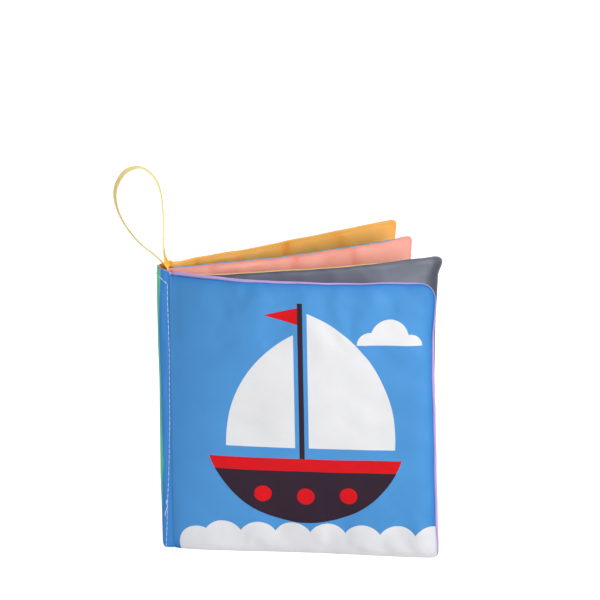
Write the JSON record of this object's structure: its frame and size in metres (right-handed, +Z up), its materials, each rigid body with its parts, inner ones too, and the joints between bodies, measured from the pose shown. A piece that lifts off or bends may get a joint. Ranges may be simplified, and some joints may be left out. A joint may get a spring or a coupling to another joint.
{
  "type": "cloth crinkle book",
  "caption": "Soft cloth book with padded, crackling leaves sewn along a folded spine and a ribbon loop at the top; stands fanned open and its leaves turn.",
  "frame": {"origin": "on the floor under the middle of the book's extent, without its free ribbon loop", "axes": "+X from the spine towards the free edges, +Y from the front cover towards the back cover, +Z up along the spine"},
  "size_m": [0.1647, 0.1062, 0.2042],
  "materials": {
    "printed_cover_cloth": "satin-woven polyester, printed blue, with a bold picture on the front cover",
    "lilac_cloth": "satin-woven polyester, lilac",
    "grey_cloth": "satin-woven polyester, grey",
    "yellow_cloth": "satin-woven polyester, soft yellow",
    "pink_cloth": "satin-woven polyester, coral pink",
    "sky_cloth": "satin-woven polyester, sky blue",
    "orange_cloth": "satin-woven polyester, orange",
    "green_cloth": "satin-woven polyester, mint green",
    "crinkle_film": "thin crackling polyester film",
    "wadding": "thin needled polyester wadding",
    "thread": "white polyester sewing thread",
    "ribbon": "narrow grosgrain ribbon, yellow"
  },
  "bodies": {
    "spine": {"outer_spine_strip": "printed_cover_cloth", "lining_spine_strip": "orange_cloth", "inner_sheet_spine_strip_outside": "grey_cloth", "inner_sheet_spine_strip_inside": "pink_cloth", "needle_thread": "thread", "bobbin_thread": "thread", "ribbon_loop": "ribbon", "ribbon_sewn_ends": "ribbon"},
    "leaf_2": {"leaf_2_front": "grey_cloth", "leaf_2_crinkle_film": "crinkle_film", "leaf_2_wadding": "wadding", "leaf_2_back": "yellow_cloth"},
    "front_cover": {"front_cover_outside": "printed_cover_cloth", "front_cover_crinkle_film": "crinkle_film", "front_cover_wadding": "wadding", "front_cover_inside": "lilac_cloth"},
    "leaf_3": {"leaf_3_front": "pink_cloth", "leaf_3_crinkle_film": "crinkle_film", "leaf_3_wadding": "wadding", "leaf_3_back": "sky_cloth"},
    "back_cover": {"back_cover_inside": "orange_cloth", "back_cover_crinkle_film": "crinkle_film", "back_cover_wadding": "wadding", "back_cover_outside": "green_cloth"}
  },
  "joints": [
    {"name": "leaf_2_turn", "type": "hinge", "parent": "spine", "child": "leaf_2", "pos_m": [-0.0657, -0.03289, 0], "axis": [0, 0, -1], "range_deg": [-4.5, 84]},
    {"name": "front_cover_turn", "type": "hinge", "parent": "leaf_2", "child": "front_cover", "pos_m": [-0.0657, -0.03289, 0], "axis": [0, 0, -1], "range_deg": [-8, 72]},
    {"name": "leaf_3_turn", "type": "hinge", "parent": "spine", "child": "leaf_3", "pos_m": [-0.0657, -0.02554, 0], "axis": [0, 0, 1], "range_deg": [-4.5, 72]},
    {"name": "back_cover_turn", "type": "hinge", "parent": "leaf_3", "child": "back_cover", "pos_m": [-0.0657, -0.02554, 0], "axis": [0, 0, 1], "range_deg": [-8, 68]}
  ]
}
